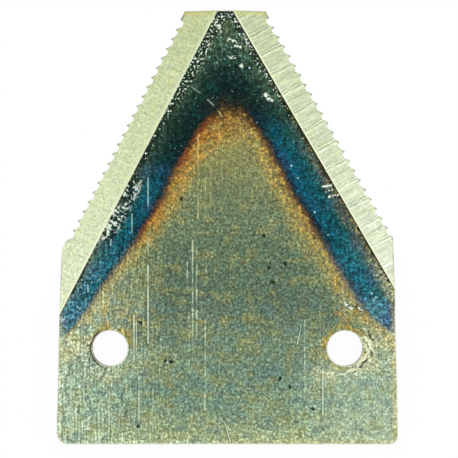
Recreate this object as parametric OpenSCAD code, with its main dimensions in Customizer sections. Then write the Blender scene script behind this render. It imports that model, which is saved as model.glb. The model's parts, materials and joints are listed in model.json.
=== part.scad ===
// Knife section of a sickle-bar mower: a flat steel plate, wide at the base and tapered to a blunt
// tip, with a ground bevel along each slanted edge, serrations cut into the underside and two rivet
// holes near the base. Sizes are in millimetres.
// The origin is midway between the rivet holes, on the underside. +Y points to the tip, and +Z up
// through the bevelled face.

/* [Plate] */
// Thickness of the plate
plate_t = 2.0; // [1.6:0.1:3]
// Width over both sides at the base edge
base_w = 50.8; // [48:0.1:56]
// Length from the base edge to the end of the tip
plate_l = 64.7; // [60:0.1:76]
// Inward lean of each side, in degrees
side_lean = 1.2; // [0:0.1:3]
// Radius of the two corners at the base
corner_r = 1.6; // [0.6:0.1:4]
// Radius of the two shoulders, where a side turns into a cutting edge
shoulder_r = 2.5; // [0.5:0.1:4]
// Break along the upper edge of the base, its corners and the sides
edge_break = 0.15; // [0.05:0.05:0.4]

/* [Rivet holes] */
// Diameter of each hole
hole_d = 5.3; // [4:0.1:6.5]
// Distance between the two hole centres
hole_spacing = 35; // [30:0.5:38]
// Distance from the base edge to the hole centres
hole_setback = 14.3; // [10:0.1:18]
// Rounding of each hole's upper mouth, left by the punch
hole_roll = 0.2; // [0.1:0.05:0.4]

/* [Left cutting edge] */
// Angle of the edge to the centre line, in degrees
left_angle = 27.1; // [26:0.1:29]
// Distance of the edge from the centre line at the end of the tip
left_reach = 6.35; // [5:0.05:8]
// Width of the bevel, square to the edge
left_bevel_w = 4.2; // [3:0.05:5]
// Distance along the plate from the end of the tip to the first tooth
left_first = 1.45; // [0.8:0.05:3]
// Least plain stretch, along the plate, between the last tooth and the shoulder
left_plain = 1.2; // [0:0.05:3]

/* [Right cutting edge] */
// Angle of the edge to the centre line, in degrees
right_angle = 29.5; // [27:0.1:31]
// Distance of the edge from the centre line at the end of the tip
right_reach = 5.5; // [5:0.05:8]
// Width of the bevel, square to the edge
right_bevel_w = 3.95; // [3:0.05:5]
// Distance along the plate from the end of the tip to the first tooth
right_first = 1.15; // [0.8:0.05:3]
// Least plain stretch, along the plate, between the last tooth and the shoulder
right_plain = 0.05; // [0:0.05:3]

/* [Serrations] */
// Distance from tooth to tooth along the plate
tooth_pitch = 1.425; // [1:0.025:2.5]
// Depth of each groove in the underside at the cutting edge
groove_depth = 0.36; // [0.2:0.02:0.6]
// Length over which a groove runs out, inward from the cutting edge
groove_run = 5; // [3:0.5:8]
// Flat left between two grooves at the cutting edge
tooth_land = 0.1; // [0.05:0.05:0.3]
// Thickness of the cutting edge below the bevel
edge_t = 0.08; // [0.04:0.02:0.16]

/* [Hidden] */
$fn = 96;
base_y = -hole_setback;
tip_y = plate_l - hole_setback;
groove_w = tooth_pitch - tooth_land;
groove_r = (pow(groove_w / 2, 2) + pow(groove_depth, 2)) / (2 * groove_depth);
groove_tilt = atan(groove_depth / groove_run);

// Where a cutting edge meets its side, as a point on the right-hand half
function shoulder(angle, reach) =
    let (up = (reach + plate_l * tan(angle) - base_w / 2) / (tan(angle) - tan(side_lean)))
    [base_w / 2 - up * tan(side_lean), base_y + up];

function to_left(point) = [-point[0], point[1]];

// The sharp outline, from the left corner of the base round to the left shoulder
base_left = [-base_w / 2, base_y];
base_right = [base_w / 2, base_y];
shoulder_right = shoulder(right_angle, right_reach);
tip_right = [right_reach, tip_y];
tip_left = [-left_reach, tip_y];
shoulder_left = to_left(shoulder(left_angle, left_reach));
outline = [base_left, base_right, shoulder_right, tip_right, tip_left, shoulder_left];

// The rounding of corner p between its neighbours a and b: the way in, the arc's ends and centre
function unit(v) = v / norm(v);
function way_in(p, a, b) = unit(unit(a - p) + unit(b - p));
function half_turn(p, a, b) = 90 - acos(unit(a - p) * unit(b - p)) / 2;
function arc_end(p, a, b, r) = p + unit(a - p) * r * tan(half_turn(p, a, b));
function arc_centre(p, a, b, r) = p + way_in(p, a, b) * r / cos(half_turn(p, a, b));

// The wedge from the arc's centre, between the arc's ends, to well past the corner
module corner_wedge(p, a, b, r) {
    polygon([arc_centre(p, a, b, r), arc_end(p, a, b, r), p - way_in(p, a, b) * r, arc_end(p, b, a, r)]);
}

// What rounding takes off the corner
module corner_waste(p, a, b, r) {
    difference() {
        corner_wedge(p, a, b, r);
        translate(arc_centre(p, a, b, r)) circle(r);
    }
}

// What the edge break takes off the upper edge of the rounded corner
module corner_break(p, a, b, r) {
    intersection() {
        linear_extrude(2 * plate_t) corner_wedge(p, a, b, r);
        translate(arc_centre(p, a, b, r)) rotate_extrude()
            polygon([[r - 2 * edge_break, plate_t + edge_break], [2 * r, plate_t + edge_break],
                [2 * r, plate_t - r - edge_break]]);
    }
}

module blank() {
    linear_extrude(plate_t) difference() {
        polygon(outline);
        corner_waste(base_left, shoulder_left, base_right, corner_r);
        corner_waste(base_right, base_left, shoulder_right, corner_r);
        corner_waste(shoulder_right, base_right, tip_right, shoulder_r);
        corner_waste(shoulder_left, tip_left, base_left, shoulder_r);
    }
}

// All that lies above a slope, which falls away to +X from a line along Y on the upper face
module above_slope(angle) {
    span = 2 * plate_l;
    translate([0, 0, plate_t]) rotate([0, angle, 0]) translate([-span / 2, -span / 2, 0])
        cube([span, span, span / 2]);
}

// The bevel and the grooves of the right-hand edge
module edge_cuts(angle, reach, bevel_w, first, plain) {
    corner = shoulder(angle, reach);
    count = floor((tip_y - corner[1] - first - plain) / tooth_pitch);
    translate([reach, tip_y, 0]) rotate(angle) translate([-bevel_w, 0, 0])
        above_slope(atan((plate_t - edge_t) / bevel_w));
    for (i = [0 : count - 1]) {
        down = first + (i + 0.5) * tooth_pitch;
        translate([reach + down * tan(angle), tip_y - down, groove_depth])
            rotate([0, 90 - groove_tilt, 0]) translate([groove_r, 0, -groove_run - tooth_pitch])
                cylinder(r = groove_r, h = groove_run + 2 * tooth_pitch);
    }
}

// The edge break along the right-hand side, the base and the base's corners
module side_break() {
    translate(base_right) rotate(side_lean) translate([-edge_break, 0, 0]) above_slope(45);
}

module base_break() {
    translate([0, base_y + edge_break, 0]) rotate(-90) above_slope(45);
    corner_break(base_left, shoulder_left, base_right, corner_r);
    corner_break(base_right, base_left, shoulder_right, corner_r);
}

module rivet_hole() {
    translate([0, 0, -plate_t]) cylinder(d = hole_d, h = 3 * plate_t);
    rotate_extrude() difference() {
        translate([0, plate_t - hole_roll]) square([hole_d / 2 + hole_roll, 2 * hole_roll]);
        translate([hole_d / 2 + hole_roll, plate_t - hole_roll]) circle(hole_roll);
    }
}

module knife_section() color([0.52, 0.56, 0.48]) difference() {
    blank();
    edge_cuts(right_angle, right_reach, right_bevel_w, right_first, right_plain);
    mirror([1, 0, 0]) edge_cuts(left_angle, left_reach, left_bevel_w, left_first, left_plain);
    side_break();
    mirror([1, 0, 0]) side_break();
    base_break();
    for (side = [-1, 1]) translate([side * hole_spacing / 2, 0, 0]) rivet_hole();
}

knife_section();
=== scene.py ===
import json
import math
from collections import namedtuple

import bpy
import numpy as np
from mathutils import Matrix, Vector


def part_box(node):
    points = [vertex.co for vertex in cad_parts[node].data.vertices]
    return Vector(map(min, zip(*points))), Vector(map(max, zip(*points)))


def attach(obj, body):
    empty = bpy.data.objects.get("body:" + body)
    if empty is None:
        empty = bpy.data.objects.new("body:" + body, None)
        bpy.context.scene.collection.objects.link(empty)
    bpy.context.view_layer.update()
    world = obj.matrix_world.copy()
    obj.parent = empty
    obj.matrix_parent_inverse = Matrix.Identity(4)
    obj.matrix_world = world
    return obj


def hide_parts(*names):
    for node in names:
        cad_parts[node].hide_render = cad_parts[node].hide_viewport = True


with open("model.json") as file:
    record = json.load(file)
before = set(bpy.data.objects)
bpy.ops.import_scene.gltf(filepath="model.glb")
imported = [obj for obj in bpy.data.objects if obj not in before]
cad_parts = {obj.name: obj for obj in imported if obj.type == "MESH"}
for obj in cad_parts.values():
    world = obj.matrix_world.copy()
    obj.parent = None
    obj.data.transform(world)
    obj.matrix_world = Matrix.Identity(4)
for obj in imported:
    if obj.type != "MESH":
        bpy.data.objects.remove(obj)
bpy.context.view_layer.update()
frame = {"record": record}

# The knife section: one plate of carbon steel, stamped to its outline from rolled strip and punched with two
# rivet holes. Both slanted edges are ground to a bevel, serrated by grooves cut into the underside, and
# hardened with heat, which left bands of blue, brown and straw on the mill surface beside the bevels.

# Sizes in millimetres, in the part's frame
plate_low, plate_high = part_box("knife_section")
thickness = plate_high.z * 1000
base_y = plate_low.y * 1000
tip_y = plate_high.y * 1000
rivet_holes = next(mount for mount in frame["record"]["mounts"] if mount["name"] == "rivet_holes")["dims"]
hole_radius = rivet_holes["hole_r_mm"]
hole_x = rivet_holes["spacing_x_mm"] / 2
hole_roll = 0.12
press_ring = 3.65
press_width = 0.12
press_depth = 0.02
edge_roll = 0.14
edge_break = 0.06
tooth_count = 23
tooth_land = 0.08
groove_depth = 0.32
groove_run = 5.0
edge_thickness = 0.05
swell_length = 0.4

# What differs between the two cutting edges, each seen from the centre line outwards
Edge = namedtuple(
    "Edge",
    "side reach angle ridge_reach ridge_angle first_tooth pitch swell shoulder base_half lean corner depths",
)


def groove_depths(seed, first):
    """Each groove's share of the full depth: near 1 and uneven, as ground by hand, the first one deeper."""
    shares = np.random.default_rng(seed).uniform(0.84, 1.1, tooth_count)
    shares[0] = first
    return shares


left = Edge(
    side=-1, reach=6.42, angle=27.1, ridge_reach=1.45, ridge_angle=27.45, first_tooth=1.29, pitch=1.434,
    swell=0.18, shoulder=0.3, base_half=25.52, lean=1.35, corner=1.8, depths=groove_depths(3, 1.2),
)
right = Edge(
    side=1, reach=5.7, angle=29.5, ridge_reach=0.74, ridge_angle=30.2, first_tooth=0.99, pitch=1.428,
    swell=0.0, shoulder=0.12, base_half=25.45, lean=1.25, corner=1.4, depths=groove_depths(8, 1.25),
)
edges = (left, right)


def tangent(degrees):
    return math.tan(math.radians(degrees))


def cutting_line(edge, y):
    """Distance of the line of the teeth from the centre line: its reach at the end of the tip, plus the way
    down from there times the tangent of its angle."""
    return edge.reach + (tip_y - y) * tangent(edge.angle)


def ridge_line(edge, y):
    """The same for the ridge, where the ground bevel leaves the face."""
    return edge.ridge_reach + (tip_y - y) * tangent(edge.ridge_angle)


def side_line(edge, y):
    """Distance of the side from the centre line: half the base, less the way up times the lean's tangent."""
    return edge.base_half - (y - base_y) * tangent(edge.lean)


def ridge_end(edge):
    """Height at which the ridge runs out through the side, where the two straight lines meet."""
    ridge_slope, side_slope = tangent(edge.ridge_angle), tangent(edge.lean)
    meeting = edge.ridge_reach + tip_y * ridge_slope - edge.base_half - base_y * side_slope
    return meeting / (ridge_slope - side_slope)


def smooth_step(value):
    """0 below 0, 1 above 1, and three squares less two cubes between them."""
    value = np.clip(value, 0, 1)
    return value * value * (3 - 2 * value)


def groove_height(edge, y):
    """Height of the grooves' roof at the cutting line: in each pitch a circular arc, highest midway between
    two teeth and nothing at the teeth, times that groove's own depth."""
    turns = (tip_y - edge.first_tooth - y) / edge.pitch
    groove = np.floor(turns)
    off_middle = (turns - groove - 0.5) * edge.pitch
    half = (edge.pitch - tooth_land) / 2
    radius = (half**2 + groove_depth**2) / (2 * groove_depth)
    arc = np.sqrt(np.maximum(radius**2 - off_middle**2, 0)) - (radius - groove_depth)
    own_depth = edge.depths[np.clip(groove, 0, tooth_count - 1).astype(int)]
    return np.where((turns >= 0) & (turns < tooth_count), np.maximum(arc, 0) * own_depth, 0)


def half_width(edge, y):
    """Distance of the outline from the centre line: the lesser of the cutting line and the side, blended
    round the shoulder. Each groove takes a notch off it, as deep as where its roof meets the bevel, and the
    plain stretch below the last notch stands a little proud."""
    bevel_slope = (thickness - edge_thickness) / (cutting_line(edge, y) - ridge_line(edge, y))
    notch = groove_height(edge, y) / (bevel_slope + groove_depth / groove_run)
    below_teeth = tip_y - edge.first_tooth - tooth_count * edge.pitch - y
    cut = cutting_line(edge, y) - notch + edge.swell * smooth_step(below_teeth / swell_length)
    side = side_line(edge, y)
    share = np.clip(0.5 + (side - cut) / (2 * edge.shoulder), 0, 1)
    return side * (1 - share) + cut * share - edge.shoulder * share * (1 - share)


def upper_surface(x, y):
    """Height of the upper surface: the plate's thickness on the face, falling straight from each ridge to the
    thin cutting line, and sunk a little in a ring about each hole, where the punch's stripper pressed."""
    fall = 0
    for edge in edges:
        ridge = ridge_line(edge, y)
        fall = np.maximum(fall, (edge.side * x - ridge) / (cutting_line(edge, y) - ridge))
    off_ring = np.hypot(np.abs(x) - hole_x, y) - press_ring
    sunk = press_depth * np.exp(-((off_ring / press_width) ** 2))
    return thickness - (thickness - edge_thickness) * np.minimum(fall, 1) - sunk


def under_surface(x, y):
    """Height of the underside: nothing, but for the roof of each groove, which sinks from the cutting line
    inward to nothing at the end of its run."""
    rise = 0
    for edge in edges:
        inward = cutting_line(edge, y) - edge.side * x
        rise = np.maximum(rise, groove_height(edge, y) - inward * groove_depth / groove_run)
    return rise


def round_corner(edge, x, y):
    """Plan points near the base moved so that the square corner becomes an arc: with u and v as the ways out
    to the side and down to the base in radii, u shrinks by the root of 1 - v*v/2, and v by the root of
    1 - u*u/2."""
    side = side_line(edge, y)
    u = np.clip((edge.side * x - side + edge.corner) / edge.corner, 0, 1)
    v = np.clip((base_y + edge.corner - y) / edge.corner, 0, 1)
    near = (u > 0) & (v > 0)
    new_x = edge.side * (side - edge.corner * (1 - u * np.sqrt(1 - v * v / 2)))
    new_y = base_y + edge.corner * (1 - v * np.sqrt(1 - u * u / 2))
    return np.where(near, new_x, x), np.where(near, new_y, y)


# The plan is a net of rows from the tip down to the base, closer where the outline bends, with a row on each
# tooth. Two blocks of it give way to rings about the holes.
hole_block = 4.3
block_cells = 16
shoulder_foot = 13.0
row_counts = (6, 12 * tooth_count, 22, 8, 8, 1, block_cells, 14, 5)
strip_columns = 8
middle_columns = 16
bevel_columns = 9
ring_radii = (hole_radius, 3.1, 3.35, 3.5, 3.65, 3.8, 4.0)


def spread(start, stop, count):
    """Evenly spaced values from start to stop, along a new last axis."""
    start = np.asarray(start, float)[..., None]
    stop = np.asarray(stop, float)[..., None]
    return start + (stop - start) * np.linspace(0, 1, count)


def row_heights(edge):
    """Heights of one edge's rows, even between the marks where the outline changes."""
    marks = (
        tip_y,
        tip_y - edge.first_tooth,
        tip_y - edge.first_tooth - tooth_count * edge.pitch,
        shoulder_foot,
        ridge_end(right),
        ridge_end(left),
        hole_block,
        -hole_block,
        base_y + edge.corner,
        base_y,
    )
    stretches = [spread(a, b, n + 1)[:-1] for a, b, n in zip(marks, marks[1:], row_counts)]
    return np.concatenate(stretches + [[base_y]])


def bevel_net(edge, rows):
    """Plan of a bevel: level lines from the toothed outline to the ridge, down to where they meet."""
    last = sum(row_counts[: 4 if edge is right else 5])
    y = rows[: last + 1]
    x = edge.side * spread(half_width(edge, y), ridge_line(edge, y), bevel_columns)
    net = np.stack((x, np.broadcast_to(y[:, None], x.shape)), -1)
    return net if edge is left else net[:, ::-1]


def face_net(left_rows, right_rows):
    """Plan of the flat face: straight lines from the left ridge or side to the right one. Towards the holes
    the columns drift from even shares of the width to the blocks' own borders."""
    start = -np.minimum(ridge_line(left, left_rows), half_width(left, left_rows))
    stop = np.minimum(ridge_line(right, right_rows), half_width(right, right_rows))
    borders = np.array((-hole_x - hole_block, -hole_x + hole_block, hole_x - hole_block, hole_x + hole_block))
    share = 0.5 + borders / (side_line(left, 0) + side_line(right, 0))
    drift = smooth_step((ridge_end(right) - left_rows) / (ridge_end(right) - hole_block))[:, None]
    even = start[:, None] + (stop - start)[:, None] * share
    turns = np.column_stack((start, even + (borders - even) * drift, stop))
    counts = (strip_columns, block_cells, middle_columns, block_cells, strip_columns)
    pieces = [spread(turns[:, k], turns[:, k + 1], n + 1)[:, :-1] for k, n in enumerate(counts)]
    x = np.concatenate(pieces + [stop[:, None]], 1)
    along = (x - start[:, None]) / (stop - start)[:, None]
    y = left_rows[:, None] + (right_rows - left_rows)[:, None] * along
    for edge in edges:
        x, y = round_corner(edge, x, y)
    return np.stack((x, y), -1)


def hole_net(centre):
    """Plan of the rings about a hole: circles out to the last radius, then the square border of the block."""
    way = np.linspace(-hole_block, hole_block, block_cells + 1)[:-1]
    low = np.stack((way, np.full(block_cells, -hole_block)), -1)
    right_hand = low[:, ::-1] * (-1, 1)
    square = np.concatenate((low, right_hand, -low, -right_hand))
    towards = square / np.linalg.norm(square, axis=1, keepdims=True)
    circles = np.array(ring_radii)[:, None, None] * towards
    return np.concatenate((circles, square[None])) + (centre, 0)


left_rows, right_rows = row_heights(left), row_heights(right)
nets = [
    face_net(left_rows, right_rows),
    bevel_net(left, left_rows),
    bevel_net(right, right_rows),
    hole_net(-hole_x),
    hole_net(hole_x),
]
points = np.round(np.concatenate([net.reshape(-1, 2) for net in nets]), 5)
plan, number = np.unique(points, axis=0, return_inverse=True)
ends = np.cumsum([net.shape[0] * net.shape[1] for net in nets])
numbers = [part.reshape(net.shape[:2]) for part, net in zip(np.split(number.ravel(), ends[:-1]), nets)]
face_numbers, left_numbers, right_numbers, *hole_numbers = numbers

# The outline runs from the base's left corner along the base, up the right, over the tip and down the left
outline_loop = np.concatenate([
    face_numbers[-1],
    face_numbers[-2:len(right_numbers) - 1:-1, -1],
    right_numbers[::-1, -1],
    right_numbers[0, -2:0:-1],
    face_numbers[0, ::-1],
    left_numbers[0, -2::-1],
    left_numbers[1:, 0],
    face_numbers[len(left_numbers):-1, 0],
])


def cells(net_numbers, closed=False):
    """Four-sided faces between neighbouring points of a net, seen anticlockwise from above."""
    if closed:
        net_numbers = np.concatenate((net_numbers, net_numbers[:, :1]), 1)
    a, b = net_numbers[:-1], net_numbers[1:]
    return np.stack((a[:, :-1], b[:, :-1], b[:, 1:], a[:, 1:]), -1)


face_cells = cells(face_numbers)
block_top = sum(row_counts[:6])
for first_column in (strip_columns, strip_columns + block_cells + middle_columns):
    face_cells[block_top:block_top + block_cells, first_column:first_column + block_cells] = -1
face_cells = face_cells.reshape(-1, 4)
face_cells = face_cells[face_cells[:, 0] >= 0]
ring_cells = [cells(rings, closed=True).reshape(-1, 4) for rings in hole_numbers]
face_cells = np.concatenate([face_cells] + ring_cells)
bevel_cells = np.concatenate([cells(left_numbers).reshape(-1, 4), cells(right_numbers).reshape(-1, 4)])

# The stamped wall: the upper edge is drawn in by the punch, the upper third is burnished smooth, and the rest
# broke away, a little rough and drawn back
roll_angles = np.radians((75, 60, 45, 30, 15, 0))
burnish_share = 0.36
wall_shares = np.array((burnish_share, burnish_share + 0.05, 0.7, 1.0))
break_back = 0.05
roll_share = 0.25
break_share = 0.2
ridge_easing = 0.035
sharp_degrees = 12
rough = np.random.default_rng(21)
upper_plan, under_plan = plan.copy(), plan.copy()
wall_points, wall_cells = [], []
wall_start = 2 * len(plan)
ridge_ends = [np.array((edge.side * ridge_line(edge, ridge_end(edge)), ridge_end(edge))) for edge in edges]


def wall_band(loop, roll, start):
    """The wall's profile carried round a loop. Square to the loop, a quarter round of the roll's radius leads
    from the upper surface into the wall, which runs down to a small break at the underside. The roll shrinks
    where the plate is thin and where a ridge runs out."""
    line = plan[loop]
    way = np.roll(line, -1, 0) - np.roll(line, 1, 0)
    out = np.column_stack((way[:, 1], -way[:, 0])) / np.linalg.norm(way, axis=1, keepdims=True)
    wall = upper_surface(*line.T) - under_surface(*line.T)
    from_ridges = np.min([np.linalg.norm(line - end, axis=1) for end in ridge_ends], axis=0)
    roll = np.minimum.reduce((np.full(len(loop), roll), roll_share * wall, ridge_easing * from_ridges))
    lower = np.minimum(edge_break, break_share * wall)
    upper_plan[loop] = line - out * roll[:, None]
    under_plan[loop] = line - out * lower[:, None]
    top = upper_surface(*upper_plan[loop].T)
    bottom = under_surface(*under_plan[loop].T)
    tear = break_back * wall / thickness * rough.uniform(0.4, 1.0, (len(wall_shares), len(loop)))
    tear[wall_shares <= burnish_share] = 0
    back = np.concatenate((roll * (1 - np.cos(roll_angles))[:, None], tear))
    rolled = top - roll * (1 - np.sin(roll_angles))[:, None]
    height = np.concatenate((rolled, top - roll + wall_shares[:, None] * (bottom + lower - top + roll)))
    at = line - out * back[:, :, None]
    made = np.concatenate((at, height[:, :, None]), 2)
    own = start + np.arange(made.shape[0] * made.shape[1]).reshape(made.shape[:2])
    rows = np.concatenate((loop[None], own, loop[None] + len(plan)))
    return made.reshape(-1, 3), cells(rows, closed=True).reshape(-1, 4)


bands = [(outline_loop, edge_roll)] + [(rings[0, ::-1], hole_roll) for rings in hole_numbers]
for loop, roll in bands:
    band_points, band_cells = wall_band(loop, roll, wall_start)
    wall_points.append(band_points)
    wall_cells.append(band_cells)
    wall_start += len(band_points)
wall_cells = np.concatenate(wall_cells)

upper_points = np.column_stack((upper_plan, upper_surface(*upper_plan.T)))
under_points = np.column_stack((under_plan, under_surface(*under_plan.T)))
plate_points = np.concatenate([upper_points, under_points] + wall_points) / 1000
under_cells = (np.concatenate((face_cells, bevel_cells)) + len(plan))[:, ::-1]
plate_faces, face_finish = [], []
for finish, group in enumerate((face_cells, bevel_cells, under_cells, wall_cells)):
    kept = [list(dict.fromkeys(corners)) for corners in group.tolist()]
    plate_faces += kept
    face_finish += [finish] * len(kept)

mesh = bpy.data.meshes.new("knife_section_plate")
mesh.from_pydata(plate_points.tolist(), [], plate_faces)
mesh.polygons.foreach_set("material_index", face_finish)
mesh.polygons.foreach_set("use_smooth", np.ones(len(plate_faces), bool))
mesh.set_sharp_from_angle(angle=math.radians(sharp_degrees))
mesh.update()
plate = bpy.data.objects.new("knife_section_plate", mesh)
bpy.context.collection.objects.link(plate)


def shade(red, green, blue):
    """A colour written as it shows on screen, from 0 to 255, in the linear values that shaders take."""
    shown = np.array((red, green, blue)) / 255
    linear = np.where(shown <= 0.04045, shown / 12.92, ((shown + 0.055) / 1.055) ** 2.4)
    return (*linear.tolist(), 1.0)


class Finish:
    """A finish, put together from shader nodes, with the colour so far. Each value given to it is a number,
    a colour as shown on screen or a node's output. Places are in millimetres in the frame of the part."""

    def __init__(self, name, metallic):
        self.material = bpy.data.materials.new(name)
        self.material.use_nodes = True
        self.tree = self.material.node_tree
        self.shader = self.tree.nodes["Principled BSDF"]
        self.shader.inputs["Metallic"].default_value = metallic
        place = self.node("ShaderNodeTexCoord").outputs["Object"]
        self.place = self.vector("SCALE", {0: place, "Scale": 1000})
        self.plan = self.vector("MULTIPLY", {0: self.place, 1: (1, 1, 0)})
        self.x, self.y, self.z = self.node("ShaderNodeSeparateXYZ", {0: self.place}).outputs

    def node(self, kind, values=(), **settings):
        """A new node of a kind, with its settings, and its sockets joined or filled."""
        made = self.tree.nodes.new(kind)
        for name, setting in settings.items():
            setattr(made, name, setting)
        for socket, value in dict(values).items():
            if isinstance(value, bpy.types.NodeSocket):
                self.tree.links.new(value, made.inputs[socket])
            else:
                made.inputs[socket].default_value = value
        return made

    def vector(self, operation, values, output=0):
        """One step of arithmetic on places or colours."""
        return self.node("ShaderNodeVectorMath", values, operation=operation).outputs[output]

    def work(self, operation, *values):
        """One step of arithmetic on numbers."""
        return self.node("ShaderNodeMath", enumerate(values), operation=operation).outputs[0]

    def fold(self, operation, values):
        """All the values worked into one, two at a time."""
        result = values[0]
        for value in values[1:]:
            result = self.work(operation, result, value)
        return result

    def times(self, *values):
        return self.fold("MULTIPLY", values)

    def plus(self, *values):
        return self.fold("ADD", values)

    def step(self, value, start, stop, most=1.0):
        """Nothing before start, most past stop, and a smooth step between them; start may be the higher."""
        values = {0: value, 1: start, 2: stop, 3: 0.0, 4: most}
        return self.node("ShaderNodeMapRange", values, interpolation_type="SMOOTHSTEP").outputs[0]

    def curve(self, value, knots):
        """A value read off a smooth curve through knots, each a pair of the given and the wanted value."""
        low, high = knots[0][0], knots[-1][0]
        top = max(wanted for _, wanted in knots)
        share = self.work("DIVIDE", self.plus(value, -low), high - low)
        made = self.node("ShaderNodeFloatCurve", {"Value": share})
        made.mapping.extend = "HORIZONTAL"
        drawn = made.mapping.curves[0].points
        for given, wanted in knots[1:-1]:
            drawn.new((given - low) / (high - low), wanted / top)
        drawn[0].location = (0, knots[0][1] / top)
        drawn[-1].location = (1, knots[-1][1] / top)
        made.mapping.update()
        return self.times(made.outputs[0], top)

    def slope(self, across, down, offset):
        """A straight slope over the plan: across times x plus down times y plus the offset."""
        tilted = self.vector("DOT_PRODUCT", {0: self.place, 1: (across, down, 0)}, "Value")
        return self.plus(tilted, offset)

    def noise(self, across, down, shift=0.0, detail=2.0, roughness=0.5):
        """Cloudy noise around 0.5, with so many clouds a millimetre across and down the plate. The shift
        keeps one pattern from repeating another."""
        values = {0: self.place, 1: (across, down, across), 2: (shift, shift, shift)}
        place = self.vector("MULTIPLY_ADD", values)
        values = {"Vector": place, "Scale": 1.0, "Detail": detail, "Roughness": roughness}
        return self.node("ShaderNodeTexNoise", values).outputs[0]

    def swing(self, noise, amount):
        """Noise as a value around 0, times an amount."""
        return self.times(self.plus(noise, -0.5), amount)

    def ramp(self, value, stops):
        """A run of colours along a value, given as pairs of the value and a colour."""
        low, high = stops[0][0], stops[-1][0]
        made = self.node("ShaderNodeValToRGB", {0: self.work("DIVIDE", self.plus(value, -low), high - low)})
        band = made.color_ramp.elements
        for at, colour in stops[1:-1]:
            band.new((at - low) / (high - low)).color = shade(*colour)
        band[0].color = shade(*stops[0][1])
        band[-1].color = shade(*stops[-1][1])
        return made.outputs[0]

    def mix(self, share, under, over):
        """The over colour laid on the under colour by a share."""
        under, over = (shade(*colour) if isinstance(colour, tuple) else colour for colour in (under, over))
        values = {0: share, 6: under, 7: over}
        return self.node("ShaderNodeMix", values, data_type="RGBA", clamp_factor=True).outputs[2]

    def lay(self, colour, *shares):
        """A colour laid on the finish so far, by the product of the shares."""
        self.colour = self.mix(self.times(*shares), self.colour, colour)

    def brighten(self, amount):
        """The finish so far times e to the power of the amount."""
        self.colour = self.vector("SCALE", {0: self.colour, "Scale": self.work("EXPONENT", amount)})

    def nearest_dot(self, centres):
        """Distance over the plan to the nearest of the centres."""
        ways = [self.vector("DISTANCE", {0: self.plan, 1: (x, y, 0)}, "Value") for x, y in centres]
        return self.fold("MINIMUM", ways)

    def around(self, centres, start, stop, most=1.0, waver=0.0):
        """A share that is most at the centres and nothing farther off than start. The waver is added to the
        distance."""
        return self.step(self.plus(self.nearest_dot(centres), waver), start, stop, most)

    def nearest_stroke(self, strokes):
        """Distance over the plan to the nearest of some straight strokes, each given by the x and y of its
        two ends and its weakness, which is added to the distance."""
        ways = []
        for from_x, from_y, to_x, to_y, weakness in strokes:
            run = np.array((to_x - from_x, to_y - from_y, 0.0))
            start = self.vector("SUBTRACT", {0: self.plan, 1: (from_x, from_y, 0)})
            share = self.vector("DOT_PRODUCT", {0: start, 1: run / (run @ run)}, "Value")
            share = self.node("ShaderNodeClamp", {0: share}).outputs[0]
            along = self.vector("SCALE", {0: run, "Scale": share})
            ways.append(self.plus(self.vector("DISTANCE", {0: start, 1: along}, "Value"), weakness))
        return self.fold("MINIMUM", ways)

    def nearest_hole(self):
        """Distance over the plan from the nearer hole's centre."""
        folded = self.node("ShaderNodeCombineXYZ", {0: self.work("ABSOLUTE", self.x), 1: self.y}).outputs[0]
        return self.vector("DISTANCE", {0: folded, 1: (hole_x, 0, 0)}, "Value")

    def inward(self, side, reach, angle):
        """Distance inward from a slanted line, square to it, given its side, its reach at the tip's end and
        its angle to the centre line."""
        turn = math.radians(angle)
        offset = (reach + tip_y * math.tan(turn)) * math.cos(turn)
        return self.slope(-side * math.cos(turn), -math.sin(turn), offset)

    def from_ridge(self, edge):
        return self.inward(edge.side, edge.ridge_reach, edge.ridge_angle)

    def from_teeth(self, edge):
        return self.inward(edge.side, edge.reach, edge.angle)

    def along_edge(self, edge):
        """Distance down along an edge's line of teeth."""
        turn = math.radians(edge.angle)
        return self.slope(edge.side * math.sin(turn), -math.cos(turn), 0)

    def from_side(self, edge):
        """Distance inward from a side."""
        lean = tangent(edge.lean)
        return self.slope(-edge.side, -lean, edge.base_half + base_y * lean)

    def surface(self, roughness, height, distance):
        """The colour, roughness and fine relief handed to the shader. The relief's distance is in metres."""
        bump = self.node("ShaderNodeBump", {"Strength": 1.0, "Distance": distance, "Height": height})
        values = {"Base Color": self.colour, "Roughness": roughness, "Normal": bump.outputs[0]}
        for socket, value in values.items():
            self.tree.links.new(value, self.shader.inputs[socket])


steel_metallic = 0.9
fine_relief = 0.00001


# How far the heat reached, in millimetres from the ridges, and the colours that it left, by distance. Near
# the tip the whole face is dark, and towards the sides the colours are paler and the bands narrower.
heat_blend = 3.8
heat_edge = 5.44
left_narrowing = (
    (1.5, 3.2), (3.0, 2.1), (6.0, 1.62), (9.0, 1.52), (14.5, 1.16), (18.0, 1.05), (30.0, 1.06), (36.0, 0.97),
)
right_narrowing = (
    (0.5, 1.7), (2.5, 1.35), (5.5, 1.0), (9.0, 0.97), (19.0, 0.95), (28.0, 0.99), (36.0, 1.13),
)
tip_heat = (
    (0.0, (76, 96, 68)), (0.9, (62, 86, 64)), (1.8, (46, 70, 55)), (2.7, (22, 47, 40)), (4.0, (7, 32, 33)),
    (4.8, (9, 30, 31)), (5.3, (34, 33, 27)), (5.8, (84, 58, 34)), (6.4, (126, 86, 40)), (7.2, (142, 108, 52)),
    (8.4, (148, 126, 64)), (10.0, (146, 134, 76)),
)
flank_heat = (
    (0.0, (80, 90, 60)), (0.6, (60, 86, 76)), (1.3, (44, 86, 84)), (2.1, (22, 80, 84)), (3.0, (13, 83, 94)),
    (4.0, (10, 84, 104)), (4.7, (14, 62, 80)), (5.1, (30, 48, 56)), (5.4, (62, 54, 48)), (5.8, (112, 88, 54)),
    (6.4, (146, 120, 64)), (7.2, (150, 131, 72)), (8.2, (142, 137, 82)), (10.0, (128, 133, 88)),
)
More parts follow.
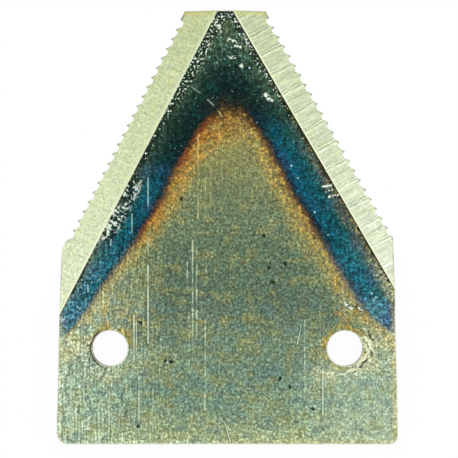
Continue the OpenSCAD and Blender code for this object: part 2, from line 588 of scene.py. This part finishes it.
foot_heat = (
    (0.0, (110, 124, 92)), (0.8, (86, 116, 106)), (1.8, (58, 106, 110)), (2.7, (38, 102, 113)),
    (4.0, (24, 102, 117)), (4.7, (34, 90, 104)), (5.1, (62, 84, 90)), (5.45, (102, 100, 88)),
    (5.9, (138, 130, 93)), (6.7, (150, 146, 96)), (8.2, (136, 141, 97)), (10.0, (120, 133, 98)),
)
end_heat = (
    (0.0, (116, 142, 124)), (0.9, (86, 128, 130)), (2.1, (74, 124, 134)), (3.3, (68, 120, 136)),
    (4.6, (74, 118, 130)), (5.2, (108, 124, 119)), (5.8, (154, 149, 109)), (7.2, (160, 157, 108)),
    (8.6, (146, 153, 112)), (10.0, (132, 147, 113)),
)
body_steel = (
    (-14.3, (172, 184, 142)), (-12.6, (157, 172, 131)), (-10.7, (137, 156, 124)), (-8.4, (125, 150, 123)),
    (-5.0, (116, 141, 119)), (0.5, (115, 136, 110)), (3.0, (112, 130, 103)), (5.5, (99, 118, 96)),
    (9.5, (94, 115, 93)), (15.5, (97, 117, 92)), (18.4, (104, 122, 95)), (22.5, (110, 123, 92)),
    (26.0, (120, 128, 90)), (30.0, (138, 138, 84)), (33.0, (142, 126, 68)),
)
right_lead = 6.0


def heat_reach(steel):
    """Distance from the ridges as the heat saw it: the two distances inward, each stretched where its band
    is narrow, and blended where they meet so that the bands close in an arch. Noise makes the edge waver,
    most at the top of the arch."""
    spent = []
    for edge, narrowing in ((left, left_narrowing), (right, right_narrowing)):
        stretch = steel.curve(steel.y, narrowing)
        spent.append(steel.work("EXPONENT", steel.times(steel.from_ridge(edge), stretch, -1 / heat_blend)))
    blended = steel.times(steel.work("LOGARITHM", steel.plus(*spent), math.e), -heat_blend)
    slow = steel.swing(steel.noise(0.4, 0.3, 1.5, 3.0, 0.6), 1.1)
    quick = steel.swing(steel.noise(2.2, 1.8, 3.0, 3.0, 0.7), 1.5)
    apex = steel.plus(1.0, steel.step(steel.y, 32.0, 35.5, 1.2))
    return steel.plus(blended, slow, steel.times(quick, apex))


def heated_steel(steel, reach):
    """Colour of the mill surface: the run of heat colours at this distance, passing from the tip's run to the
    flanks', the foot's and the ends' on the way down, and the bare steel beyond them. On the right the tip's
    run ends higher up."""
    up = steel.plus(steel.y, steel.swing(steel.noise(0.25, 0.25, 11.0, 3.0), 6.0))
    lead = steel.step(steel.x, -3.0, 3.0, right_lead)
    below_tip = steel.step(steel.work("SUBTRACT", up, lead), 31.0, 23.0)
    colour = steel.mix(below_tip, steel.ramp(reach, tip_heat), steel.ramp(reach, flank_heat))
    colour = steel.mix(steel.step(up, 19.0, 12.0), colour, steel.ramp(reach, foot_heat))
    colour = steel.mix(steel.step(up, 10.0, 4.0), colour, steel.ramp(reach, end_heat))
    return steel.mix(steel.step(reach, 7.0, 9.5), colour, steel.ramp(up, body_steel))


# The upper face: rolled strip with its mill grain, upright scratches from the rolls and from handling, scale
# flaking beside the bevels, pits, and amber stains around the holes
scratches = (
    (-11.85, 25.4, -11.85, 21.2, 0.0), (-14.25, 20.0, -14.25, 17.2, 0.0), (-11.85, 12.4, -11.85, 0.8, 0.01),
    (-13.95, 5.0, -13.95, -2.0, 0.01), (-13.6, 4.0, -13.6, -1.0, 0.04), (14.2, -2.9, 14.2, -9.9, 0.0),
    (-0.4, -11.1, 0.4, -13.9, 0.02), (11.0, 3.4, 10.4, 0.6, 0.04), (-20.85, 9.4, -20.75, 8.5, -0.04),
    (-17.4, 16.2, -17.4, 15.4, -0.03),
)
scuffs = (
    (0.2, 46.1, 1.2, 45.8, 0.0), (1.2, 45.0, 1.9, 44.9, 0.0), (0.3, 43.4, 1.0, 43.2, 0.0),
    (1.9, 42.2, 2.1, 42.0, 0.0), (5.3, 37.8, 5.9, 37.6, 0.0), (6.0, 37.2, 6.6, 36.9, 0.0),
    (14.1, 24.1, 15.4, 24.3, 0.08), (14.5, 23.4, 15.6, 23.6, 0.12), (15.0, 22.6, 16.5, 22.9, 0.08),
    (17.5, 6.7, 18.5, 5.9, 0.0), (19.3, 6.2, 19.9, 5.7, 0.0), (-1.6, 48.6, -0.9, 47.2, 0.05),
    (2.4, 46.8, 3.0, 45.4, 0.05),
)
faint_scratches = (
    (-5.3, 38.9, -4.1, 38.1, -0.08), (-3.0, 37.1, -2.0, 36.2, -0.02), (-1.5, 35.6, -0.8, 34.5, 0.05),
    (-4.4, 32.0, -4.4, 19.5, 0.0), (-3.3, 29.4, -3.3, 19.5, 0.02), (-2.5, 27.0, -2.5, 20.0, 0.03),
    (-7.1, 21.4, -7.1, 17.3, 0.03), (-11.85, 17.2, -11.85, 13.8, 0.0), (-23.3, -4.7, -23.3, -13.4, -0.05),
    (-21.4, -4.7, -21.4, -9.6, 0.02), (-19.2, -8.4, -19.2, -13.4, -0.05), (-13.2, -4.0, -13.2, -13.0, -0.02),
    (-19.0, 11.0, -19.0, 2.7, 0.02), (-11.1, -3.0, -11.1, -12.6, 0.03), (-6.0, 12.9, -6.0, 8.7, 0.0),
    (-5.2, 16.1, -5.2, -0.6, -0.01), (-4.6, 14.5, -4.6, 1.3, 0.0), (-5.75, 5.0, -5.75, -2.4, 0.01),
    (-3.3, 4.2, -3.35, -9.2, -0.03), (-3.2, 13.6, -3.2, 11.2, 0.0), (11.5, 4.2, 11.5, -7.7, 0.02),
    (13.8, 6.5, 13.8, 0.5, 0.04), (4.8, -3.0, 4.8, -12.0, 0.05), (19.6, -5.0, 19.6, -12.6, 0.04),
    (-9.9, 2.0, -9.9, -10.0, 0.05), (-17.6, -5.0, -17.6, -12.0, 0.04),
)
pits = (
    (-9.3, -1.9), (-8.4, -2.0), (7.8, -4.55), (9.3, -5.75), (12.7, -9.0), (-6.9, 22.3), (5.4, 16.75),
    (6.2, 12.0), (8.55, 12.6), (6.8, 9.75), (-13.3, -11.6), (-12.9, 3.8),
)
bare_spots = (
    (9.5, 27.2), (10.5, 25.4), (13.0, 20.3), (15.0, 16.9), (3.3, 41.8), (21.5, 8.2), (22.1, 7.6), (21.8, 7.2),
    (-22.4, 6.2),
)
hole_scuffs = (
    (20.3, 2.9, 20.7, 2.3, 0.0), (20.5, 1.6, 21.3, 0.9, 0.0), (20.5, 0.3, 21.0, -0.4, 0.03),
    (21.3, 0.1, 21.9, -0.5, 0.06), (21.0, -0.7, 20.6, -1.1, 0.03), (20.2, -1.4, 19.4, -2.5, 0.0),
    (19.3, -2.9, 17.8, -3.5, 0.03), (14.4, -3.5, 15.7, -3.8, 0.03),
)
hole_cuts = (
    (20.9, 2.5, 21.5, 1.2, 0.0), (21.0, 0.3, 20.6, -0.6, 0.04), (21.9, 0.2, 21.3, -0.9, 0.04),
    (20.5, -1.8, 19.7, -2.8, 0.0), (19.0, -3.5, 18.2, -3.7, 0.04),
)
left_flaking = (
    (8.0, 0.2), (15.6, 0.4), (17.2, 2.1), (24.4, 2.2), (26.0, 1.0), (34.0, 0.9), (38.0, 1.5), (50.0, 1.7),
)
right_flaking = ((8.0, 0.2), (34.0, 0.5), (38.0, 0.9), (50.0, 1.1))
flake_whiteness = (
    (15.6, 0.05), (17.0, 0.12), (19.5, 0.12), (21.0, 0.09), (24.4, 0.09), (26.0, 0.03), (35.0, 0.04),
    (39.0, 0.06), (50.0, 0.08),
)
cream = (228, 236, 204)
pale = (186, 207, 178)
straw = (208, 210, 160)
amber = (178, 148, 62)
flake_black = (13, 27, 23)
flake_white = (224, 235, 217)

face = Finish("heat_tinted_mill_face", steel_metallic)
reach = heat_reach(face)
face.colour = heated_steel(face, reach)
in_heat = face.step(reach, heat_edge, heat_edge - 0.6)
past_heat = face.step(reach, heat_edge + 0.2, heat_edge + 1.6)
hole_away = face.nearest_hole()
cloud = face.noise(0.35, 0.3, 5.0, 4.0, 0.6)
patch = face.noise(0.9, 0.65, 9.0, 4.0, 0.65)
stain = face.noise(0.42, 0.55, 12.0, 3.0, 0.55)
fleck = face.noise(2.7, 2.5, 17.0, 3.0, 0.65)

# Rust and amber at the rim of the heat, patchy and broken into crumbs, with a dark, specked top to the arch,
# then darker steel beside the middle, paler steel towards the sides, and a painted highlight along the
# rolled edges low on the sides and along the base
on_left = face.step(face.x, 3.0, -3.0)
rust = face.times(face.step(reach, 5.0, 5.6), face.step(reach, 7.2, 6.2), face.step(cloud, 0.42, 0.6, 0.5))
face.lay((138, 76, 36), rust, on_left, face.step(face.y, 12.0, 20.0))
at_rim = face.times(face.step(reach, 5.7, 6.3), face.step(reach, 8.8, 7.2))
face.lay((178, 148, 66), at_rim, face.step(patch, 0.5, 0.57, 0.5))
orange_rim = face.times(at_rim, on_left, face.step(face.y, 14.0, 19.0), face.step(stain, 0.46, 0.58, 0.55))
face.lay((188, 128, 50), orange_rim)
faded_rim = face.times(face.step(reach, 5.9, 6.9), face.step(reach, 9.5, 8.0), on_left)
faded_rim = face.times(faded_rim, face.step(face.y, 9.0, 13.0), face.step(stain, 0.51, 0.42, 0.6))
face.lay((134, 134, 84), faded_rim)
crumb = face.noise(1.5, 1.1, 31.0, 4.0, 0.7)
right_rim = face.times(face.step(face.x, 0.0, 4.0), face.step(face.y, 8.0, 12.0))
face.lay((118, 128, 92), right_rim, face.step(reach, 5.9, 6.6), face.step(reach, 10.0, 8.0, 0.5))
crumbs = face.times(right_rim, face.step(reach, 5.6, 6.0), face.step(reach, 8.0, 6.9))
face.lay((202, 168, 78), crumbs, face.step(crumb, 0.5, 0.56, 0.65))
face.lay((92, 78, 46), crumbs, face.step(crumb, 0.45, 0.4, 0.5))
left_crumbs = face.times(at_rim, on_left, face.step(face.y, 17.0, 21.0))
face.lay((206, 164, 70), left_crumbs, face.step(crumb, 0.53, 0.6, 0.5))
face.lay((126, 92, 46), left_crumbs, face.step(crumb, 0.46, 0.4, 0.5))
under_arch = face.times(face.step(reach, 5.2, 5.7), face.step(reach, 8.4, 6.8))
face.lay((50, 40, 26), under_arch, face.step(face.y, 31.0, 34.0), face.step(fleck, 0.46, 0.4, 0.6))
arch_top = face.times(face.step(face.y, 33.4, 37.4, 0.95), face.step(face.y, 39.0, 37.4))
near_middle = face.step(face.work("ABSOLUTE", face.x), 7.0, 4.0)
face.lay((20, 36, 30), arch_top, near_middle, face.step(fleck, 0.68, 0.46))
face.lay((80, 102, 86), face.around([(8.0, 7.5), (-7.8, 10.5)], 7.0, 2.0, 0.3))
pale_left = face.times(face.step(face.x, -9.0, -24.0, 0.6), face.step(face.y, 14.0, 8.0))
pale_right = face.times(face.step(face.x, 10.0, 19.0, 0.55), face.step(face.y, 2.5, -3.0))
face.lay(pale, face.work("MAXIMUM", pale_left, pale_right), past_heat)
# A painted highlight along the rolled edges low on the sides and along the base, cream on the left
from_base = face.times(face.plus(face.y, -base_y), 1.6)
highlit_rim = face.fold("MINIMUM", [face.from_side(left), face.from_side(right), from_base])
highlit_rim = face.plus(highlit_rim, face.swing(patch, 1.6))
rim_highlight_colour = face.mix(on_left, (216, 204, 150), (212, 224, 192))
face.lay(rim_highlight_colour, face.step(highlit_rim, 1.2, 0.1, 0.7), face.step(face.y, 12.0, 3.0))

# Amber, straw and bare scuffs about the holes, with a painted highlight on the left hole's rim and a painted
# shadow in its mouth, and olive, tan, mint and bluish stains
about_hole = face.plus(hole_away, face.swing(cloud, 1.5))
outside_holes = ((22.4, 0.8), (20.8, -1.6), (-23.6, 0.0))
face.lay(straw, face.around(outside_holes, 3.2, 0.8, 0.66, face.swing(cloud, 2.5)))
below_holes = ((-17.2, -3.9), (14.0, -4.0), (15.8, -3.7))
face.lay(straw, face.around(below_holes, 2.0, 0.4, 0.6, face.swing(cloud, 2.0)))
face.lay((164, 168, 112), face.around([(-12.6, 11.8), (-13.4, 8.6), (-10.1, -2.2)], 4.5, 0.5, 0.3))
face.lay((182, 206, 178), face.around([(-14.4, -2.0), (12.4, -6.0), (12.4, -9.8)], 4.0, 0.5, 0.3))
tan_patch = face.around([(-18.5, 5.6), (-15.5, 4.0)], 4.6, 1.0)
face.lay((176, 158, 92), tan_patch, face.step(patch, 0.4, 0.56, 0.6), past_heat)
face.lay((84, 116, 110), face.around([(4.4, -3.9), (6.4, -4.3)], 2.0, 0.3, 0.5, face.swing(cloud, 2.0)))
hole_amber = face.times(face.step(about_hole, 4.4, 2.9), face.step(face.y, -3.6, 1.5))
above_right_hole = ((17.6, 4.7), (16.8, 5.8), (20.1, 4.7))
upper_amber = face.around(above_right_hole, 1.6, 0.4, 1.0, face.swing(cloud, 1.5))
hole_amber = face.work("MAXIMUM", hole_amber, upper_amber)
face.lay(amber, hole_amber, face.step(patch, 0.4, 0.56, 0.65))
right_ring = face.times(face.step(hole_away, 3.8, 3.0, 0.6), face.step(face.x, 0.0, 1.0))
face.lay((168, 150, 66), right_ring, face.step(patch, 0.34, 0.5))
face.lay((146, 147, 92), face.step(stain, 0.5, 0.66, 0.5), past_heat)
face.lay((98, 128, 121), face.step(stain, 0.5, 0.35, 0.5), past_heat, face.step(face.y, 12.0, 4.0))
face.lay((158, 140, 70), face.step(patch, 0.58, 0.7, 0.35), past_heat)
outer_side = face.step(face.work("ABSOLUTE", face.x), hole_x - 0.5, hole_x + 1.0)
# Cream and dark flecks low on the outer side of each hole: scuffs, and on the left hole also a painted
# highlight on its rim
scuffed_and_highlit = face.times(outer_side, face.step(face.y, 2.5, 1.0), face.step(about_hole, 4.9, 4.0))
face.lay((92, 88, 60), scuffed_and_highlit, face.step(fleck, 0.44, 0.38, 0.5))
face.lay(cream, scuffed_and_highlit, face.step(fleck, 0.52, 0.58, 0.85))
# A painted shadow in the mouth of the left hole, on its left side
face.lay((40, 44, 30), face.step(hole_away, 3.2, 2.9, 0.9), face.step(face.x, -18.2, -19.4))

# Patches in the heat band: greenish black at the top and on the left, slate and violet lower down, blue at
# both ends, and brown scale along the right ridge
beside_left, beside_right = face.from_ridge(left), face.from_ridge(right)
face.lay((10, 38, 38), face.step(patch, 0.5, 0.38, 0.5), in_heat)
face.lay((52, 66, 98), face.step(stain, 0.52, 0.64, 0.3), in_heat, face.step(face.y, 36.0, 28.0))
face.lay((18, 70, 56), face.step(stain, 0.48, 0.36, 0.35), in_heat)
face.lay((70, 88, 130), face.step(cloud, 0.5, 0.64, 0.4), in_heat, face.step(face.y, 16.0, 8.0))
face.lay((9, 36, 28), face.around([(-9.9, 29.4), (-7.9, 33.0)], 3.6, 0.8, 0.55), in_heat)
face.lay((53, 114, 136), face.around([(-23.6, 5.9)], 2.6, 0.4, 0.5), in_heat)
face.lay((86, 140, 147), face.around([(21.4, 5.6)], 2.6, 0.4, 0.5), in_heat)
scale_edge = face.plus(beside_right, face.swing(cloud, 3.0))
scale_strip = face.times(face.step(scale_edge, 2.2, 0.8), face.step(face.y, 33.0, 27.0))
scale_browns = ((0.3, (58, 70, 74)), (0.44, (74, 84, 84)), (0.55, (98, 96, 76)), (0.7, (150, 136, 80)))
face.lay(face.ramp(fleck, scale_browns), scale_strip, 0.7)
ochre = face.times(face.step(beside_right, 0.75, 0.3), face.step(face.y, 42.0, 36.0))
face.lay((138, 116, 50), ochre, face.step(fleck, 0.46, 0.56, 0.75))
face.lay((30, 34, 20), ochre, face.step(fleck, 0.46, 0.4, 0.6))
shoulder_pale = face.times(face.step(beside_right, 2.3, 0.6), face.step(face.y, 15.0, 10.0))
face.lay((176, 178, 138), shoulder_pale, face.step(fleck, 0.38, 0.55, 0.8))

# Grain, with upright streaks that are strongest on the left, and glints in the heat band
grain_dimming = -0.07
grain = face.noise(2.9, 2.7, 0.0, 3.0, 0.65)
streaks = face.noise(4.5, 0.25, 2.0, 3.0, 0.6)
mottle = face.noise(1.5, 1.4, 25.0, 2.0)
streaky = face.plus(0.9, face.step(face.x, -6.0, -15.0, 1.8))
calm = face.around([(1.5, 25.0)], 7.0, 3.0, -1.0)
calm_corner = face.times(face.step(face.x, 12.0, 16.0, -1.0), face.step(face.y, -3.0, -6.0))
contrast = face.plus(3.2, face.times(cloud, 2.6), face.times(in_heat, 1.2), calm, calm_corner)
mottled = face.plus(0.6, face.times(in_heat, 1.6), face.step(face.y, 36.0, 41.0, 1.4))
uneven = face.plus(face.swing(grain, contrast), face.swing(streaks, streaky), face.swing(mottle, mottled))
face.brighten(face.plus(uneven, grain_dimming))
low_left = face.times(face.step(face.x, -8.0, -14.0, 0.08), face.step(face.y, 17.0, 14.0))
glints = face.plus(face.noise(2.4, 2.1, 14.0, 2.0), low_left, face.step(face.y, 39.0, 43.0, 0.07))
face.lay((140, 184, 184), face.step(glints, 0.68, 0.78, 0.8), in_heat)

# Scale flaking off beside the ridges, in a coarser cluster low on the left, and dark lines against the ridges
# and at the end of the tip
flake_cover = -0.09
flaking = []
for beside, widths in ((beside_left, left_flaking), (beside_right, right_flaking)):
    frayed = face.plus(beside, face.swing(patch, 2.4))
    flaking.append(face.step(face.work("DIVIDE", frayed, face.curve(face.y, widths)), 1.2, 0.7))
flaking = face.work("MAXIMUM", *flaking)
flake = face.noise(3.0, 2.7, 37.0, 1.5, 0.5)
in_cluster = face.step(face.y, 28.0, 26.0)
flake = face.plus(flake, face.times(in_cluster, face.work("SUBTRACT", fleck, flake)))
patchy = face.swing(patch, face.plus(0.2, face.times(in_cluster, 0.5)))
bared = face.plus(flake, face.curve(face.y, flake_whiteness), patchy, flake_cover)
face.lay(flake_black, flaking, face.step(bared, 0.55, 0.48, 0.78))
face.lay(flake_white, flaking, face.step(bared, 0.55, 0.61, 0.95))
face.lay((34, 34, 14), face.step(beside_right, 0.36, 0.12, 0.85), face.step(face.y, 8.0, 11.0))
face.lay((40, 58, 34), face.step(beside_left, 0.4, 0.1, 0.5), face.step(face.y, 20.0, 15.0))
tip_end = face.step(face.y, tip_y - 0.55, tip_y - 0.3)
face.lay((30, 24, 34), tip_end, face.step(fleck, 0.36, 0.5, 0.95))

# Scratches with a painted shadow beside them, pits and bare spots
ragged = face.swing(grain, 0.5)
breaks = face.swing(face.noise(0.8, 0.6, 7.0, 4.0, 0.7), 0.5)
dashes = face.times(face.swing(face.noise(0.6, 2.2, 15.0, 2.0), 0.6), face.step(face.y, 8.0, 5.0))
faint_away = face.plus(face.nearest_stroke(faint_scratches), ragged, breaks, dashes, 0.03)
# A painted shadow beside the faint scratches
face.lay((70, 80, 54), face.step(faint_away, 0.32, 0.12, 0.2))
faint_colour = face.mix(face.step(face.y, 15.0, 19.0), (208, 228, 194), (208, 202, 134))
faint_colour = face.mix(in_heat, faint_colour, (138, 158, 148))
face.lay(faint_colour, face.step(faint_away, 0.13, 0.03, 0.7))
scratch_away = face.plus(face.nearest_stroke(scratches), face.times(ragged, 0.6), face.times(breaks, 0.3))
scratch = face.step(scratch_away, 0.12, 0.05)
# A painted shadow beside the scratches
face.lay((50, 64, 50), face.step(scratch_away, 0.36, 0.16, 0.4))
face.lay(face.mix(in_heat, (212, 231, 202), (140, 184, 190)), scratch, 0.95)
scuff_away = face.plus(face.nearest_stroke(scuffs), face.swing(fleck, 1.6))
face.lay(flake_black, face.step(scuff_away, 0.5, 0.28, 0.5))
face.lay(flake_white, face.step(scuff_away, 0.2, 0.06, 0.95))
cut_away = face.plus(face.nearest_stroke(hole_cuts), face.swing(fleck, 1.2))
face.lay((48, 52, 34), face.step(cut_away, 0.26, 0.1, 0.85))
rub_away = face.plus(face.nearest_stroke(hole_scuffs), face.swing(fleck, 2.2))
face.lay((230, 234, 194), face.step(rub_away, 0.22, 0.1, 0.92))
pit = face.around(pits, 0.38, 0.2, 1.0, ragged)
face.lay((26, 34, 24), pit, 0.92)
face.lay((182, 226, 230), face.around(bare_spots, 0.17, 0.07, 0.9, ragged))
relief = face.plus(grain, face.times(streaks, 0.6), face.times(scratch, 0.8), face.times(pit, -2.0))
face.surface(face.plus(0.42, face.swing(grain, 0.3)), relief, fine_relief)

# The bevels: bright from the grinding wheel, whose marks run square to the edge. On the right the wheel left
# a pair of darker lines at every second tooth.
wheel_pitch = 2 * right.pitch / math.cos(math.radians(right.angle))
wheel_start = 22.9
left_ground = (
    (4.0, (224, 236, 200)), (20.0, (216, 228, 187)), (36.0, (205, 216, 171)), (50.4, (192, 203, 153)),
)
right_ground = (
    (8.0, (233, 242, 217)), (20.0, (224, 235, 204)), (36.0, (208, 220, 185)), (50.4, (192, 206, 166)),
)
wheel_greys = (
    (0.0, 188), (0.03, 96), (0.06, 188), (0.1, 212), (0.15, 110), (0.19, 188), (0.25, 220), (0.3, 188),
    (0.55, 180), (0.6, 150), (0.65, 188), (1.0, 188),
)
bevel = Finish("ground_bevel", steel_metallic)
inside = bevel.work("MINIMUM", bevel.from_ridge(left), bevel.from_ridge(right))
on_right = bevel.step(bevel.x, -0.05, 0.05)
off_right = bevel.step(bevel.x, 0.05, -0.05)
bevel.colour = bevel.mix(on_right, bevel.ramp(bevel.y, left_ground), bevel.ramp(bevel.y, right_ground))
marks = []
for edge in edges:
    drawn_out = {0: bevel.times(bevel.along_edge(edge), 3.6), 1: bevel.times(inside, 0.3)}
    place = bevel.node("ShaderNodeCombineXYZ", drawn_out).outputs[0]
    marks.append(bevel.node("ShaderNodeTexNoise", {"Vector": place, "Scale": 1.0, "Detail": 4.0}).outputs[0])
passed = bevel.plus(bevel.along_edge(right), wheel_start, bevel.swing(bevel.noise(0.3, 0.3), 0.9))
turns = bevel.work("DIVIDE", passed, wheel_pitch)
wheel = bevel.ramp(bevel.work("FRACT", turns), [(at, (grey,) * 3) for at, grey in wheel_greys])
wheel = bevel.times(bevel.swing(wheel, on_right), bevel.step(bevel.noise(0.8, 0.8, 4.0), 0.3, 0.55))
left_mark = bevel.times(bevel.swing(marks[0], off_right), 0.45)
mark = bevel.plus(left_mark, bevel.swing(marks[1], on_right))
bevel_cloud = bevel.noise(1.1, 1.1, 0.0, 4.0, 0.6)
bevel_grain = bevel.noise(2.8, 2.8, 9.0, 2.0)
bevel.lay((222, 218, 140), bevel.step(bevel_cloud, 0.56, 0.68, 0.45))
bevel.lay((190, 203, 178), bevel.step(bevel_cloud, 0.45, 0.34, 0.5))
grainy = bevel.swing(bevel_grain, bevel.plus(0.7, bevel.times(off_right, 0.5)))
bevel.brighten(bevel.plus(mark, bevel.times(wheel, 1.4), grainy))

# The ridge has a painted highlight; the teeth are darker, and the end of the tip is yellower with a dark line
# at the very end
bevel.lay((248, 250, 216), bevel.step(inside, -0.34, -0.08, 0.85), on_right)
bevel.lay((232, 243, 206), bevel.step(inside, -0.6, -0.05, 0.7), off_right)
low_ridge_highlight = bevel.step(inside, -0.34, -0.1, 0.85)
bevel.lay((250, 250, 220), low_ridge_highlight, off_right, bevel.step(bevel.y, 24.0, 17.0))
from_teeth = bevel.work("MINIMUM", bevel.from_teeth(left), bevel.from_teeth(right))
bevel.lay((146, 150, 134), bevel.step(from_teeth, 0.5, 0.16, 0.8), bevel.step(bevel.y, 15.4, 16.6))
bevel.lay((210, 200, 110), bevel.step(bevel.y, tip_y - 1.0, tip_y - 0.3, 0.5))
bevel.lay((110, 108, 72), bevel.step(bevel.y, tip_y - 0.3, tip_y - 0.1, 0.3))
bevel_relief = bevel.plus(mark, wheel, bevel.times(bevel_cloud, 0.3))
bevel.surface(bevel.plus(0.34, bevel.times(mark, 0.2)), bevel_relief, fine_relief)

# The underside: the same heat colours, with rolling streaks and bright ground grooves
under = Finish("heat_tinted_underside", steel_metallic)
under_reach = heat_reach(under)
under.colour = heated_steel(under, under_reach)
under_grain = under.noise(3.0, 3.0, 21.0, 3.0, 0.65)
under_streaks = under.noise(4.0, 0.22, 6.0, 3.0, 0.6)
under_stain = under.noise(0.6, 0.5, 8.0, 4.0, 0.6)
under.lay((150, 140, 84), under.step(under_stain, 0.5, 0.66, 0.5), under.step(under_reach, 5.6, 7.0))
under.brighten(under.plus(under.swing(under_grain, 3.6), under.swing(under_streaks, 2.4)))
groove_marks = under.noise(0.4, 6.0, 4.0, 3.0, 0.6)
groove_steel = under.mix(under.step(groove_marks, 0.35, 0.65), (172, 182, 154), (216, 224, 198))
under.lay(groove_steel, under.step(under.z, 0.004, 0.012))
rolled_relief = under.plus(under_grain, under.times(under_streaks, 0.8))
under.surface(under.plus(0.42, under.swing(under_grain, 0.3)), rolled_relief, fine_relief)

# The walls: burnished by the die in the upper third, with upright marks, torn and grey below, with a painted
# highlight at the rolled upper edge and painted shade inside the holes
wall = Finish("sheared_wall", steel_metallic)
torn = wall.noise(5.0, 5.0, 0.0, 4.0, 0.7)
upright_place = wall.vector("MULTIPLY", {0: wall.place, 1: (6, 6, 0.5)})
upright = wall.node("ShaderNodeTexNoise", {"Vector": upright_place, "Scale": 1.0}).outputs[0]
wall_cloud = wall.noise(0.8, 0.8, 3.0, 3.0, 0.6)
burnish = wall.step(wall.plus(wall.z, wall.swing(wall_cloud, 0.6)), 1.15, 1.35)
torn_colour = wall.mix(wall.step(wall.y, 5.0, 9.0), (118, 126, 108), (184, 194, 170))
wall.colour = wall.mix(burnish, torn_colour, (190, 202, 172))
# A painted highlight at the top of the wall, on the rolled edge
wall.lay((216, 226, 198), wall.step(wall.z, 1.6, 1.85, 0.8))
wall.lay((132, 104, 62), wall.step(wall_cloud, 0.55, 0.68, 0.6))
# Painted shade on the walls inside the holes, below the rolled mouth
wall.lay((40, 42, 32), wall.step(wall.nearest_hole(), 3.3, 3.1, 0.85), wall.step(wall.z, 1.96, 1.86))
wall.brighten(wall.plus(wall.swing(torn, 1.4), wall.swing(upright, 1.6)))
wall.surface(wall.plus(0.5, wall.swing(torn, 0.3)), wall.plus(torn, upright), 2 * fine_relief)

for finish in (face, bevel, under, wall):
    mesh.materials.append(finish.material)
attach(plate, "root")
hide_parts("knife_section")

# The floor: a sheet of white paper that the plate lies on. It looks as white as in full light, with a faint
# shadow, and isn't there when seen from below.
floor_half = 0.8
floor_drop = 0.00002
glow_share = 0.95
floor_mesh = bpy.data.meshes.new("white_floor")
floor_signs = ((-1, -1), (1, -1), (1, 1), (-1, 1))
floor_corners = [(x * floor_half, y * floor_half, -floor_drop) for x, y in floor_signs]
floor_mesh.from_pydata(floor_corners, [], [(0, 1, 2, 3)])
floor = bpy.data.objects.new("white_floor", floor_mesh)
bpy.context.collection.objects.link(floor)
paper = Finish("white_paper", metallic=0.0)
paper.shader.inputs["Base Color"].default_value = (0.92, 0.92, 0.92, 1)
paper.shader.inputs["Roughness"].default_value = 0.9
paper.shader.inputs["Specular IOR Level"].default_value = 0.0
rays = paper.node("ShaderNodeLightPath").outputs
seen = paper.fold("MAXIMUM", [rays[f"Is {kind} Ray"] for kind in ("Camera", "Glossy", "Transmission")])
glow = paper.node("ShaderNodeEmission").outputs[0]
whiteness = paper.times(seen, glow_share)
lit = paper.node("ShaderNodeMixShader", {0: whiteness, 1: paper.shader.outputs[0], 2: glow}).outputs[0]
from_below = paper.node("ShaderNodeNewGeometry").outputs["Backfacing"]
clear = paper.node("ShaderNodeBsdfTransparent").outputs[0]
sided = paper.node("ShaderNodeMixShader", {0: from_below, 1: lit, 2: clear}).outputs[0]
paper.tree.links.new(sided, paper.tree.nodes["Material Output"].inputs["Surface"])
floor_mesh.materials.append(paper.material)

# The light: an even white tent all round, and a large soft lamp above the tip
world = bpy.data.worlds.new("light_tent")
bpy.context.scene.world = world
world.use_nodes = True
tent = world.node_tree.nodes["Background"]
tent.inputs["Color"].default_value = (1, 1, 1, 1)
tent.inputs["Strength"].default_value = 1.0
lamp_data = bpy.data.lights.new("soft_lamp", "AREA")
lamp_data.size = 0.4
lamp_data.energy = 0.3
lamp = bpy.data.objects.new("soft_lamp", lamp_data)
lamp.location = (0.1, 0.25, 0.5)
lamp.rotation_euler = (math.radians(-26), math.radians(11), 0)
bpy.context.collection.objects.link(lamp)

# The camera: straight above, with the tip up, as in the photograph
frame_width = 0.06824
camera_height = 0.352
camera_data = bpy.data.cameras.new("camera")
camera_data.lens = camera_data.sensor_width * (camera_height - thickness / 1000) / frame_width
camera = bpy.data.objects.new("camera", camera_data)
camera.location = (0.000216, 0.01779, camera_height)
bpy.context.collection.objects.link(camera)
bpy.context.scene.camera = camera
bpy.context.scene.view_settings.view_transform = "Standard"
